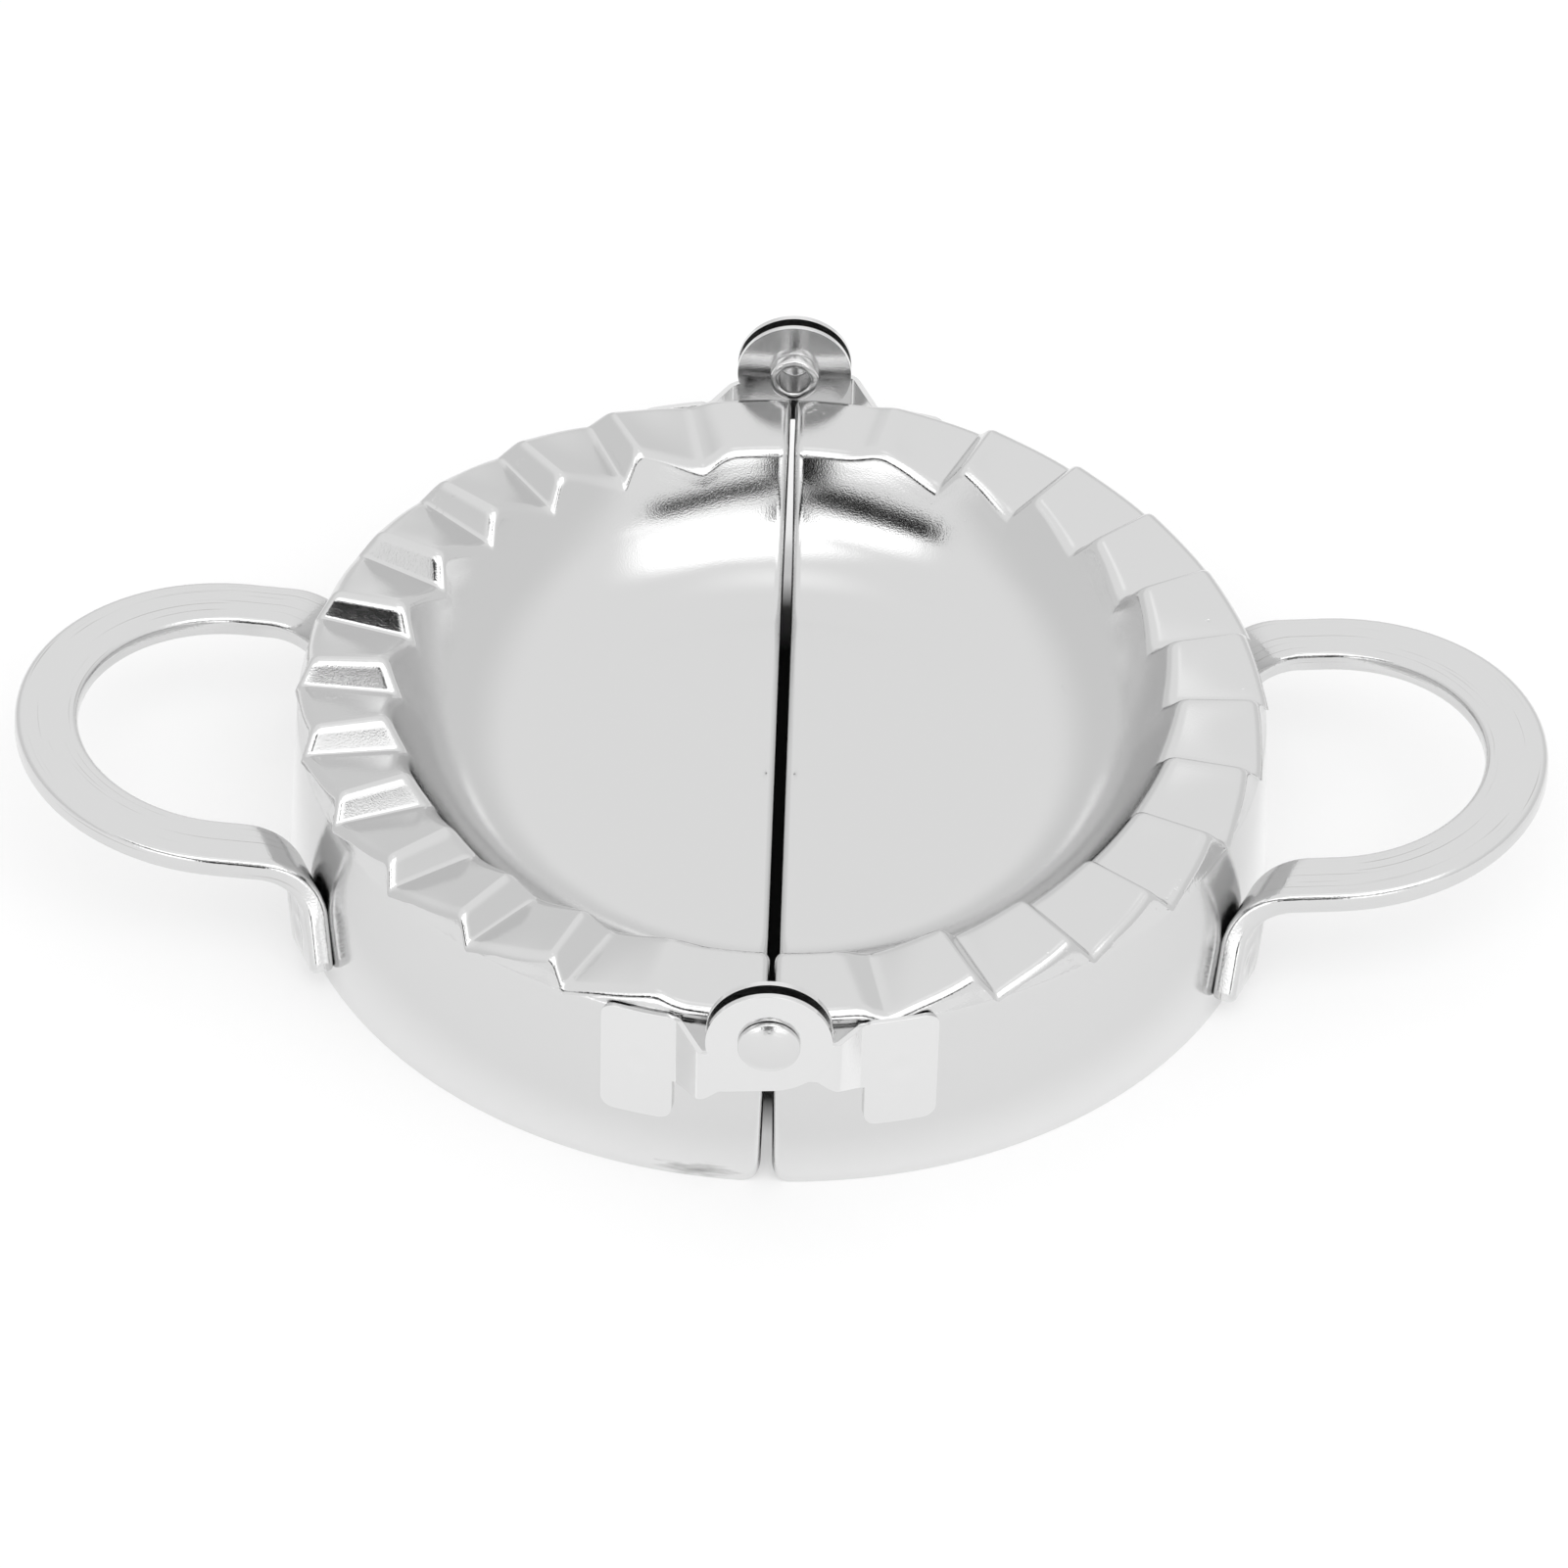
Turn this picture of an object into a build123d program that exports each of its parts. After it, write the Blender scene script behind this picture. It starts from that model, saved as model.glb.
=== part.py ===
"""Hinged dough press: two stamped half dishes that fold together about one hinge line.

Each half is a half-round dish with a toothed rim, an outer skirt whose foot is the dough cutter, two
spot-welded hinge leaves, a rivet and a flat-bar finger loop.  Both halves are the same set of pieces, one
turned half a turn about Z, so the teeth of one half fall between the teeth of the other when it closes.

Frame: origin on the table, midway between the two halves.  +X runs to the right handle, +Y to the rear
hinge and +Z up.  Lengths are millimetres, angles degrees.  The hinge line is parallel to Y.
"""
from build123d import *
from math import asin, atan2, cos, degrees, hypot, radians, sin, sqrt, tan
import os

# ---------------------------------------------------------------- half dish, one stamping
SHEET = 0.6                # sheet thickness
FOOT_RADIUS = 48.5         # outside of the skirt where it stands on the table
SKIRT_FLARE = 3.9          # lean of the skirt, wider at the foot
RIM_HEIGHT = 20.0          # mean height of the toothed rim
RIM_WIDTH = 8.25           # between shoulder and bowl, at the mean height
SHOULDER_INSET = 0.8       # from the line of the skirt to the rim's outer edge, at the mean height
SHOULDER_SLOPE = 61.0      # slope of the bevel between skirt and rim
BOWL_SLOPE = 60.0          # slope of the bowl's upper wall
BOWL_DEPTH = 11.0          # from the rim's mean height to the bowl's floor
BOWL_FILLET = 14.0         # between the bowl's wall and its floor

# Teeth: steep steps round the rim, with a gentle ramp from each step up to the next.
STEP_COUNT = 13            # the first and the last are half steps
STEP_SPAN = 2.6            # angle that one step takes up
RIM_FLAT = 12.25           # angle of the level stretch from each seam to the middle of the first step
TOOTH_HEIGHT = 2.2         # valley to crest

# Seam between the halves, drafted so that it opens downwards.
SEAM_GAP = 0.45            # between the two halves at the rim
SEAM_DRAFT = 1.0           # of each seam face
SEAM_FLANGE = 2.2          # how far the sheet turns down along the seam
SEAM_BEND = 0.9            # outside radius of that bend
SEAM_CORNER = 1.8          # round corner where seam and foot meet

# ---------------------------------------------------------------- hinge
DOUGH_GAP = 1.4            # between the two rims when the press is closed
LEAF_SHEET = 0.55          # sheet thickness of the leaves
EAR_STANDOFF = 1.2         # from the foot's radius out to the inner ear
EAR_GAP = 1.1              # between the inner and the outer ear
EAR_RADIUS = 5.85
BEND_CLEARANCE = 0.35      # from the ear's edge to the bend into the neck
NECK_RUN = 2.3             # from that bend to the welded tab, along X
NECK_TOP = 1.9             # upper edge of the neck at the tab, below the hinge line
NECK_BOTTOM = 9.2          # lower edge of the neck at the tab, below the hinge line
NOTCH_DROP = 1.6           # bottom of the notch beside the ear, below the hinge line
HEEL_INSET = 1.6           # lower corner of the ear, in from the bend
HEEL_DROP = 0.3            # lower corner of the ear, below the ear's round end
TAB_WIDTH = 7.1            # welded tab of the leaf
TAB_HEIGHT = 12.0
TAB_CORNER = 1.2
TAB_TOP_DROP = 1.0         # upper edge of the tab, below the rim

# Rivets: semi-tubular, clinched on the inner ear, with the outer ear turning under the head.
SHANK_RADIUS = 2.0
PIVOT_CLEARANCE = 0.05     # radial, between shank and ear
HEAD_CLEARANCE = 0.1       # between head and outer ear
HEAD_OVERHANG = 0.88       # head beyond the shank
HEAD_EDGE = 0.45           # straight side of the head
HEAD_DOME = 0.7            # rise of the dome above that side
TAIL_OVERHANG = 0.55       # rolled tail beyond the shank
TAIL_LENGTH = 1.3          # rolled tail, along the shank
TAIL_WALL = 0.4            # wall round the bore
BORE_DEPTH = 3.2

# ---------------------------------------------------------------- handle: flat bar bent to a U in plan
BAR_WIDTH = 6.1
BAR_THICKNESS = 2.3
BAR_EDGE = 0.65            # rounding of the bar's edges
HANDLE_DROP = 6.8          # upper face of the bar where it bends down, below the rim
LOOP_RADIUS = 18.2         # of the bar's centre line
LOOP_RISE = 4.8            # slope of the loop and its arms, higher at the outer end
ARM_REACH = 5.8            # from the foot's radius out to the centre of the loop
ARM_BEND = 4.8             # bar's centre line where the arm turns down into the welded end
ARM_BEND_SECTIONS = 8      # sections that the bend is lofted through
END_HEIGHT = 2.4           # lower end of the bar above the table
WELD_BITE = 0.08           # the weld sinks the bar into the skirt's curve by this much

# ---------------------------------------------------------------- derived values
RIM_OUTER_RADIUS = FOOT_RADIUS - RIM_HEIGHT * tan(radians(SKIRT_FLARE)) - SHOULDER_INSET
RIM_INNER_RADIUS = RIM_OUTER_RADIUS - RIM_WIDTH
CREST = RIM_HEIGHT + TOOTH_HEIGHT / 2
VALLEY = RIM_HEIGHT - TOOTH_HEIGHT / 2
BLANK_TOP = CREST + 2 * SHEET      # the blank runs past the crests before the teeth are cut
HINGE_HEIGHT = RIM_HEIGHT + DOUGH_GAP / 2
INNER_EAR = FOOT_RADIUS + EAR_STANDOFF
OUTER_EAR = INNER_EAR + LEAF_SHEET + EAR_GAP
EAR_BEND = EAR_RADIUS + BEND_CLEARANCE
TAB_START = EAR_BEND + NECK_RUN
TAB_TOP = RIM_HEIGHT - TAB_TOP_DROP
TAB_MIDDLE = TAB_TOP - TAB_HEIGHT / 2
BAR_MIDDLE = RIM_HEIGHT - HANDLE_DROP - BAR_THICKNESS / 2
LOOP_CENTRE = FOOT_RADIUS + ARM_REACH
REACH = 2 * FOOT_RADIUS            # longer than any cut has to be


def skirt_radius(z, out=0.0):
    """Radius of the skirt's outside at height z, moved out by a distance square to the sheet."""
    return FOOT_RADIUS - z * tan(radians(SKIRT_FLARE)) + out / cos(radians(SKIRT_FLARE))


def shoulder_radius(z, depth=0.0):
    """Radius of the bevel between skirt and rim at height z, the bevel moved in by depth."""
    slope = radians(SHOULDER_SLOPE)
    return RIM_OUTER_RADIUS + (RIM_HEIGHT - z) / tan(slope) - depth / sin(slope)


def bowl_radius(z, depth=0.0):
    """Radius of the bowl's upper wall at height z, the wall moved out by depth."""
    slope = radians(BOWL_SLOPE)
    return RIM_INNER_RADIUS - (RIM_HEIGHT - z) / tan(slope) + depth / sin(slope)


def shoulder_height(depth):
    """Height where skirt and shoulder meet, both moved in by depth."""
    lean = 1 / tan(radians(SHOULDER_SLOPE)) - tan(radians(SKIRT_FLARE))
    return (shoulder_radius(0, depth) - skirt_radius(0, -depth)) / lean


# ---------------------------------------------------------------- half dish
def rim_folds():
    """Angle from the rear seam and height of each fold line across the rim of the left half."""
    pitch = (180 - 2 * RIM_FLAT) / (STEP_COUNT - 1)
    folds = [(-RIM_FLAT, RIM_HEIGHT)]
    for step in range(STEP_COUNT):
        middle = RIM_FLAT + step * pitch
        before = RIM_HEIGHT if step == 0 else CREST
        after = RIM_HEIGHT if step == STEP_COUNT - 1 else VALLEY
        folds.append((middle - STEP_SPAN / 2, before))
        folds.append((middle + STEP_SPAN / 2, after))
    return folds + [(180 + RIM_FLAT, RIM_HEIGHT)]


def tooth_cutter(depth):
    """Everything above the toothed rim of the left half, the rim lowered by depth."""
    inside = RIM_INNER_RADIUS - RIM_WIDTH / 2
    outside = FOOT_RADIUS + RIM_WIDTH / 2
    sections = []
    for angle, height in rim_folds():
        outwards = Vector(0, 1, 0).rotate(Axis.Z, angle)
        upright = Plane(origin=(0, 0, 0), x_dir=outwards, z_dir=outwards.cross(Vector(0, 0, 1)))
        low = height - depth
        high = BLANK_TOP + SHEET
        middle = Pos((inside + outside) / 2, (low + high) / 2)
        sections.append(upright * middle * Rectangle(outside - inside, high - low))
    return loft(sections, ruled=True)


def pressing(depth):
    """Solid below the dish's upper surface, that surface moved in by depth everywhere."""
    knee = shoulder_height(depth)
    floor = RIM_HEIGHT - BOWL_DEPTH - depth
    bowl_corner = (bowl_radius(floor, depth), floor)
    outline = Polyline(
        (0, -depth),
        (skirt_radius(-depth, -depth), -depth),
        (skirt_radius(knee, -depth), knee),
        (shoulder_radius(BLANK_TOP, depth), BLANK_TOP),
        (bowl_radius(BLANK_TOP, depth), BLANK_TOP),
        bowl_corner,
        (0, floor),
        close=True,
    )
    section = make_face(outline)
    section = fillet(section.vertices().sort_by_distance(bowl_corner)[0], BOWL_FILLET + depth)
    return revolve(Plane.XZ * section, Axis.Z) - tooth_cutter(depth)


def half_pressing(depth):
    """The left half of a pressing, its seam face moved in by depth as well."""
    block = Pos(-REACH / 2 - depth, 0, 0) * Box(REACH, 2 * REACH, 2 * REACH)
    return pressing(depth) & (Pos(-SEAM_GAP / 2, 0, RIM_HEIGHT) * Rot(0, SEAM_DRAFT, 0) * block)


def foot_corner():
    """Cutter that rounds the corner between the left seam face and the foot."""
    foot_edge = -SEAM_GAP / 2 - RIM_HEIGHT * tan(radians(SEAM_DRAFT))
    square = Pos(foot_edge, 0, 0) * Box(2 * SEAM_CORNER, 2 * REACH, 2 * SEAM_CORNER)
    round_bar = Pos(foot_edge - SEAM_CORNER, 0, SEAM_CORNER) * Rot(90, 0, 0) * Cylinder(SEAM_CORNER, 2 * REACH)
    return square - round_bar


def left_dish():
    """Left half dish: a skin of sheet that turns down into a short flange along the seam."""
    body = half_pressing(0)
    seam_face = body.faces().filter_by(lambda face: face.normal_at().X > 0.99).sort_by(SortBy.AREA)[-1]
    bent_edges = seam_face.edges().sort_by(Axis.Z)[1:]
    body = fillet(bent_edges, SEAM_BEND)
    return body - half_pressing(SHEET) - pressing(SEAM_FLANGE) - foot_corner()


# ---------------------------------------------------------------- hinge leaves
def tab_wrap():
    """Ring of leaf sheet lying on the skirt, cut off where the neck of a leaf begins."""
    low = TAB_MIDDLE - TAB_HEIGHT
    high = TAB_MIDDLE + TAB_HEIGHT
    outline = Polyline(
        (skirt_radius(low, -SHEET), low),
        (skirt_radius(low, LEAF_SHEET), low),
        (skirt_radius(high, LEAF_SHEET), high),
        (skirt_radius(high, -SHEET), high),
        close=True,
    )
    past_neck = Pos(TAB_START + REACH / 2, 0, 0) * Box(REACH, 2 * REACH, 2 * REACH)
    return revolve(Plane.XZ * make_face(outline), Axis.Z) & past_neck


def ear_strip(ear):
    """Upright strip that is the ear, its bend and the neck that leads back to the skirt."""
    neck_radius = skirt_radius(TAB_MIDDLE, LEAF_SHEET / 2)
    landing = sqrt(neck_radius ** 2 - TAB_START ** 2)
    run = Polyline(
        (-2 * EAR_RADIUS, ear + LEAF_SHEET / 2),
        (EAR_BEND, ear + LEAF_SHEET / 2),
        (TAB_START, landing),
        (TAB_START + TAB_CORNER, landing - TAB_CORNER * TAB_START / landing),
    )
    return extrude(trace(run, LEAF_SHEET), HINGE_HEIGHT + 2 * EAR_RADIUS)


def ear_heel():
    """Lower corner of the ear, and the point where its lower edge runs into the round end."""
    out = EAR_BEND - HEEL_INSET
    down = EAR_RADIUS + HEEL_DROP
    turn = atan2(down, -out) + asin(EAR_RADIUS / hypot(out, down))
    run = sqrt(out ** 2 + down ** 2 - EAR_RADIUS ** 2)
    heel = (out, HINGE_HEIGHT - down)
    return heel, (heel[0] + run * cos(turn), heel[1] + run * sin(turn))


def leaf_outline():
    """Leaf seen along the hinge line: welded tab, neck with its notch, and round ear."""
    heel, tangent_point = ear_heel()
    tab = Pos(TAB_START + TAB_WIDTH / 2, TAB_MIDDLE) * RectangleRounded(TAB_WIDTH, TAB_HEIGHT, TAB_CORNER)
    neck = make_face(Polyline(
        (0, HINGE_HEIGHT),
        (EAR_BEND, HINGE_HEIGHT - NOTCH_DROP),
        (TAB_START, HINGE_HEIGHT - NECK_TOP),
        (TAB_START + TAB_CORNER, HINGE_HEIGHT - NECK_TOP),
        (TAB_START + TAB_CORNER, HINGE_HEIGHT - NECK_BOTTOM),
        (TAB_START, HINGE_HEIGHT - NECK_BOTTOM),
        heel,
        tangent_point,
        close=True,
    ))
    ear = Pos(0, HINGE_HEIGHT) * Circle(EAR_RADIUS)
    bore = Pos(0, HINGE_HEIGHT) * Circle(SHANK_RADIUS + PIVOT_CLEARANCE)
    return tab + neck + ear - bore


def rear_right_leaf(ear):
    """Leaf on the right half at the rear hinge, its ear at the given distance from the middle."""
    seen_from_rear = extrude(Plane.XZ * leaf_outline(), -REACH)
    return ((tab_wrap() + ear_strip(ear)) & seen_from_rear) - pressing(0)


# ---------------------------------------------------------------- rivets
def rear_rivet():
    """Rivet of the rear hinge: head outside, bored tail rolled against the inner ear."""
    tail_end = INNER_EAR - TAIL_LENGTH
    grip_end = OUTER_EAR + LEAF_SHEET + HEAD_CLEARANCE
    shoulder = grip_end + HEAD_EDGE
    head_radius = SHANK_RADIUS + HEAD_OVERHANG
    tail_radius = SHANK_RADIUS + TAIL_OVERHANG
    bore_radius = SHANK_RADIUS - TAIL_WALL
    dome = TangentArc((0, shoulder + HEAD_DOME), (head_radius, shoulder), tangent=(1, 0))
    outline = Polyline(
        (head_radius, shoulder),
        (head_radius, grip_end),
        (SHANK_RADIUS, grip_end),
        (SHANK_RADIUS, INNER_EAR),
        (tail_radius, INNER_EAR),
        (tail_radius, tail_end),
        (bore_radius, tail_end),
        (bore_radius, tail_end + BORE_DEPTH),
        (0, tail_end + BORE_DEPTH),
        (0, shoulder + HEAD_DOME),
    )
    section = make_face(dome + outline)
    rolled_lip = section.vertices().group_by(Axis.Y)[0]
    section = fillet(rolled_lip, (tail_radius - bore_radius) * 0.45)
    return Pos(0, 0, HINGE_HEIGHT) * revolve(section, Axis.Y)


# ---------------------------------------------------------------- handles
def bar_section(at, across, along):
    """Section of the bar at a point, its width lying one way and the bar running another."""
    return Plane(origin=at, x_dir=across, z_dir=along) * RectangleRounded(BAR_WIDTH, BAR_THICKNESS, BAR_EDGE)


def right_handle():
    """Finger loop of the right half: one bar from its rear welded end round to the front one.

    The arms run square to the hinge line, but each turns down about a line that lies against the round
    skirt, so its end leans sideways.  The loop is drawn level and then tilted about the two knees.
    """
    up = Vector(0, 0, 1)
    # The arms slope down to the skirt and each end lies along its flare.
    end_turn = 90 + SKIRT_FLARE - LOOP_RISE
    knee_z = BAR_MIDDLE - ARM_BEND * (1 - cos(radians(end_turn)))
    knee_radius = skirt_radius(knee_z, BAR_THICKNESS / 2 - WELD_BITE)
    end_length = (knee_z - END_HEIGHT) / cos(radians(SKIRT_FLARE))
    # Bearing of the bend, such that the middle of the welded end faces the skirt squarely.
    shortening = ARM_BEND * (radians(end_turn) - sin(radians(end_turn))) + end_length / 2
    bearing = asin(LOOP_RADIUS / (knee_radius - shortening))
    outward = Vector(cos(bearing), sin(bearing), 0)
    sideways = up.cross(outward)
    drift = tan(bearing)               # sideways travel along the bar, for each unit down it
    knee = outward * knee_radius - sideways * (drift * end_length / 2) + up * knee_z
    bend_start = knee + outward * (ARM_BEND * sin(radians(end_turn))) + up * (BAR_MIDDLE - knee_z)
    bend_start -= sideways * (drift * ARM_BEND * radians(end_turn))
    arm_end = Vector(LOOP_CENTRE, LOOP_RADIUS, BAR_MIDDLE)

    arm_section = bar_section(arm_end, Vector(0, 1, 0), Vector(1, 0, 0))
    overrun = BAR_WIDTH * drift
    arm = extrude(arm_section, bend_start.X - overrun - arm_end.X)
    arm &= Plane(origin=bend_start, x_dir=sideways, z_dir=outward) * Box(
        REACH, REACH, REACH, align=(Align.CENTER, Align.CENTER, Align.MIN))
    bend_face = arm.faces().filter_by(lambda face: face.normal_at().dot(outward) < -0.99)[0]
    bend_axis = Axis(bend_start - up * ARM_BEND, sideways)
    sections = []
    for step in range(ARM_BEND_SECTIONS):
        turned = end_turn * step / (ARM_BEND_SECTIONS - 1)
        slide = sideways * (drift * ARM_BEND * radians(turned))
        sections.append(Pos(slide) * bend_face.rotate(bend_axis, -turned))
    bend = loft(sections)
    along = outward * -cos(radians(end_turn)) - up * sin(radians(end_turn)) + sideways * drift
    end = extrude(sections[-1], end_length * along.length, along.normalized())
    side = end + bend + arm
    loop = revolve(arm_section, Axis((LOOP_CENTRE, 0, 0), up), -180)
    level = side + loop + mirror(side, Plane.XZ)
    return level.rotate(Axis(knee, (0, 1, 0)), -LOOP_RISE) - pressing(0)


# ---------------------------------------------------------------- the two halves
def half_turn(piece):
    """The same piece on the other half."""
    return Rot(0, 0, 180) * piece


left_shell = left_dish()
outer_leaf = rear_right_leaf(OUTER_EAR)
inner_leaf = mirror(rear_right_leaf(INNER_EAR), Plane.YZ)
rivet = rear_rivet()
handle = right_handle()

pieces = {
    "left_shell": left_shell,
    "left_front_leaf": half_turn(outer_leaf),
    "left_back_leaf": inner_leaf,
    "back_rivet": rivet,
    "left_handle": half_turn(handle),
    "right_shell": half_turn(left_shell),
    "right_front_leaf": half_turn(inner_leaf),
    "right_back_leaf": outer_leaf,
    "front_rivet": half_turn(rivet),
    "right_handle": handle,
}

os.makedirs("parts", exist_ok=True)
for name, piece in pieces.items():
    export_step(piece, f"parts/{name}.step")
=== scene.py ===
"""Dressed model of a hinged dough press in stainless steel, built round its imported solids.

Pieces are worked out in millimetres and degrees, and solid() puts them into Blender's metres. Materials,
the stage and the camera are in metres. +X runs to the right handle, +Y to the rear hinge, +Z up.
"""
import bmesh
import bpy
import numpy as np
from mathutils import Matrix, Vector


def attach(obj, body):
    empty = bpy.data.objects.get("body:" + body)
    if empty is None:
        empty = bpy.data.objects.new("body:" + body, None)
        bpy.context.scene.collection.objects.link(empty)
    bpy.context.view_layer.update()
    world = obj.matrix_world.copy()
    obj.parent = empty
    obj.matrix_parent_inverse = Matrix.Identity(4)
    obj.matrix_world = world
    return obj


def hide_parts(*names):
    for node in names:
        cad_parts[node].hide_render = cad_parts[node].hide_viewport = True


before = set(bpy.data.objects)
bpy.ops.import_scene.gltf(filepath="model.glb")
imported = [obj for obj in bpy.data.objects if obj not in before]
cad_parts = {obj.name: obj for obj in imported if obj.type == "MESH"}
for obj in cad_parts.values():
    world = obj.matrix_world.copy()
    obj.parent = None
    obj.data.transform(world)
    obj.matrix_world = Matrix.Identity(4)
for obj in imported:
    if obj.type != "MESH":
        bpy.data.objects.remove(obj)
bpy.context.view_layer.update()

# ======================================================================== half dishes
# Each half is one pressing of 0.6 mm stainless sheet: a skirt whose cut foot parts the dough, a rim
# folded in thirteen steps and a round bowl. Along the seam the sheet turns down into a narrow flange.
SHEET = 0.6
CUT_EDGE = 0.1                # rounding of the sheet's cut edges
FOOT_RADIUS = 48.5
SKIRT_FLARE = 3.9             # lean of the skirt from upright
SHOULDER_SLOPE = 61.0
SHOULDER_INSET = 0.8          # sets how low the shoulder meets the skirt
SHOULDER_FOLD = 1.5           # radius of that corner
RIM_HEIGHT = 20.0
RIM_INSET = 0.55              # of the rim's outer edge from the skirt's line
RIM_OUTER_RADIUS = FOOT_RADIUS - RIM_HEIGHT * np.tan(np.radians(SKIRT_FLARE)) - RIM_INSET
OUTER_FOLD, INNER_FOLD = 1.5, 1.9             # radii of the rim's edges
INNER_TURN = 66.0             # angle between the rim and the top of the bowl's wall
BOWL_FLOOR = 9.0
FLOOR_RADIUS = 23.66          # flat middle of the bowl
FLOOR_FILLET = 14.0           # lower curve of the wall
WALL_BREAK = 52.0             # slope at which the lower curve passes into the gentler upper one
WALL_CURVE = 27.0             # radius of the upper curve
STEP_COUNT = 13
TOOTH_RADIUS = 40.0           # where the steps and their folds are measured
STEP_WIDTH = 1.9
STEP_TAPER = 0.0195           # share of its width that a step gains per millimetre inwards
STEP_RADII = (34, 46)         # between which it does so
STEP_SPAN = np.degrees(STEP_WIDTH / TOOTH_RADIUS)
RIM_FLAT = 12.25              # angle of the level stretch from the seam to the first step
STEP_PITCH = (180 - 2 * RIM_FLAT) / (STEP_COUNT - 1)
CREST_RISE = 1.25
VALLEY_DROP = (0.95, 1.5)     # at the rim's outer and inner edge
CREST_SOFTNESS, VALLEY_SOFTNESS = 0.95, 0.4   # half the angle over which a fold is rounded
LAST_CREST = 0.55             # share of a full crest at the last step
END_SPREAD = 0.8              # angle that the first and last step take more than the others
SEAM_GAP = 0.45
SEAM_DRAFT = 1.0
SEAM_FLANGE = 2.2
SEAM_BEND = 0.9
SEAM_CORNER = 1.8             # radius of the skirt's lower corners
SEAM_CROWD = 8                # angle from the seam within which columns move up to make room for the bend


def parabola(start, vertex, end, share):
    """Points from start to end on the parabola that touches the lines to the vertex at both."""
    return (1 - share) ** 2 * start + 2 * share * (1 - share) * vertex + share ** 2 * end


def soft_ramp(x, width):
    """Zero, then a straight rise of slope one from x = 0, joined by a parabola of that half width."""
    return np.where(x < -width, 0.0, np.where(x > width, x, (x + width) ** 2 / (4 * width)))


def rim_height(angle, valley_drop):
    """Height of the toothed rim at an angle from the rear seam: a level stretch, then a steep fall at
    each step and a gentle climb to the next. It is a sum of soft ramps, one for each fold, times the
    change of slope there. Crests are rounded more widely than valleys, and the first and last step are
    low and soft."""
    steps = RIM_FLAT + STEP_PITCH * np.arange(STEP_COUNT)
    fold_angles = np.column_stack((steps - STEP_SPAN / 2, steps + STEP_SPAN / 2)).ravel()
    fold_angles[0] -= END_SPREAD
    fold_angles[-1] += END_SPREAD
    heights = np.tile((RIM_HEIGHT + CREST_RISE, RIM_HEIGHT - valley_drop), STEP_COUNT)
    heights[[0, -1]] = RIM_HEIGHT
    heights[-2] = RIM_HEIGHT + CREST_RISE * LAST_CREST
    softness = np.tile((CREST_SOFTNESS, VALLEY_SOFTNESS), STEP_COUNT)
    softness[[0, -2, -1]] = CREST_SOFTNESS + END_SPREAD
    softness[1] = 2 * VALLEY_SOFTNESS
    slopes = np.concatenate(((0,), np.diff(heights) / np.diff(fold_angles), (0,)))
    bends = soft_ramp(np.asarray(angle)[..., None] - fold_angles, softness) * np.diff(slopes)
    return heights[0] + bends.sum(-1)


def parallel_folds(angle, radius):
    """Shift of a column's angle at a radius that makes a step's width grow only a little from the rim's
    outer to its inner edge: in full on the step, fading out along the climb."""
    step = np.clip(np.round((angle - RIM_FLAT) / STEP_PITCH), 0, STEP_COUNT - 1)
    apart = angle - (RIM_FLAT + STEP_PITCH * step)
    hold = STEP_SPAN / 2 + CREST_SOFTNESS
    share = np.clip((STEP_PITCH / 2 - np.abs(apart)) / (STEP_PITCH / 2 - hold), 0, 1)
    radius = np.clip(radius, *STEP_RADII)
    return apart * share * (TOOTH_RADIUS / radius * (1 + STEP_TAPER * (TOOTH_RADIUS - radius)) - 1)


def seam_half_gap(z):
    """Half the gap between the halves at height z: the seam faces lean apart towards the table."""
    return SEAM_GAP / 2 + (RIM_HEIGHT - z) * np.tan(np.radians(SEAM_DRAFT))


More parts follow.
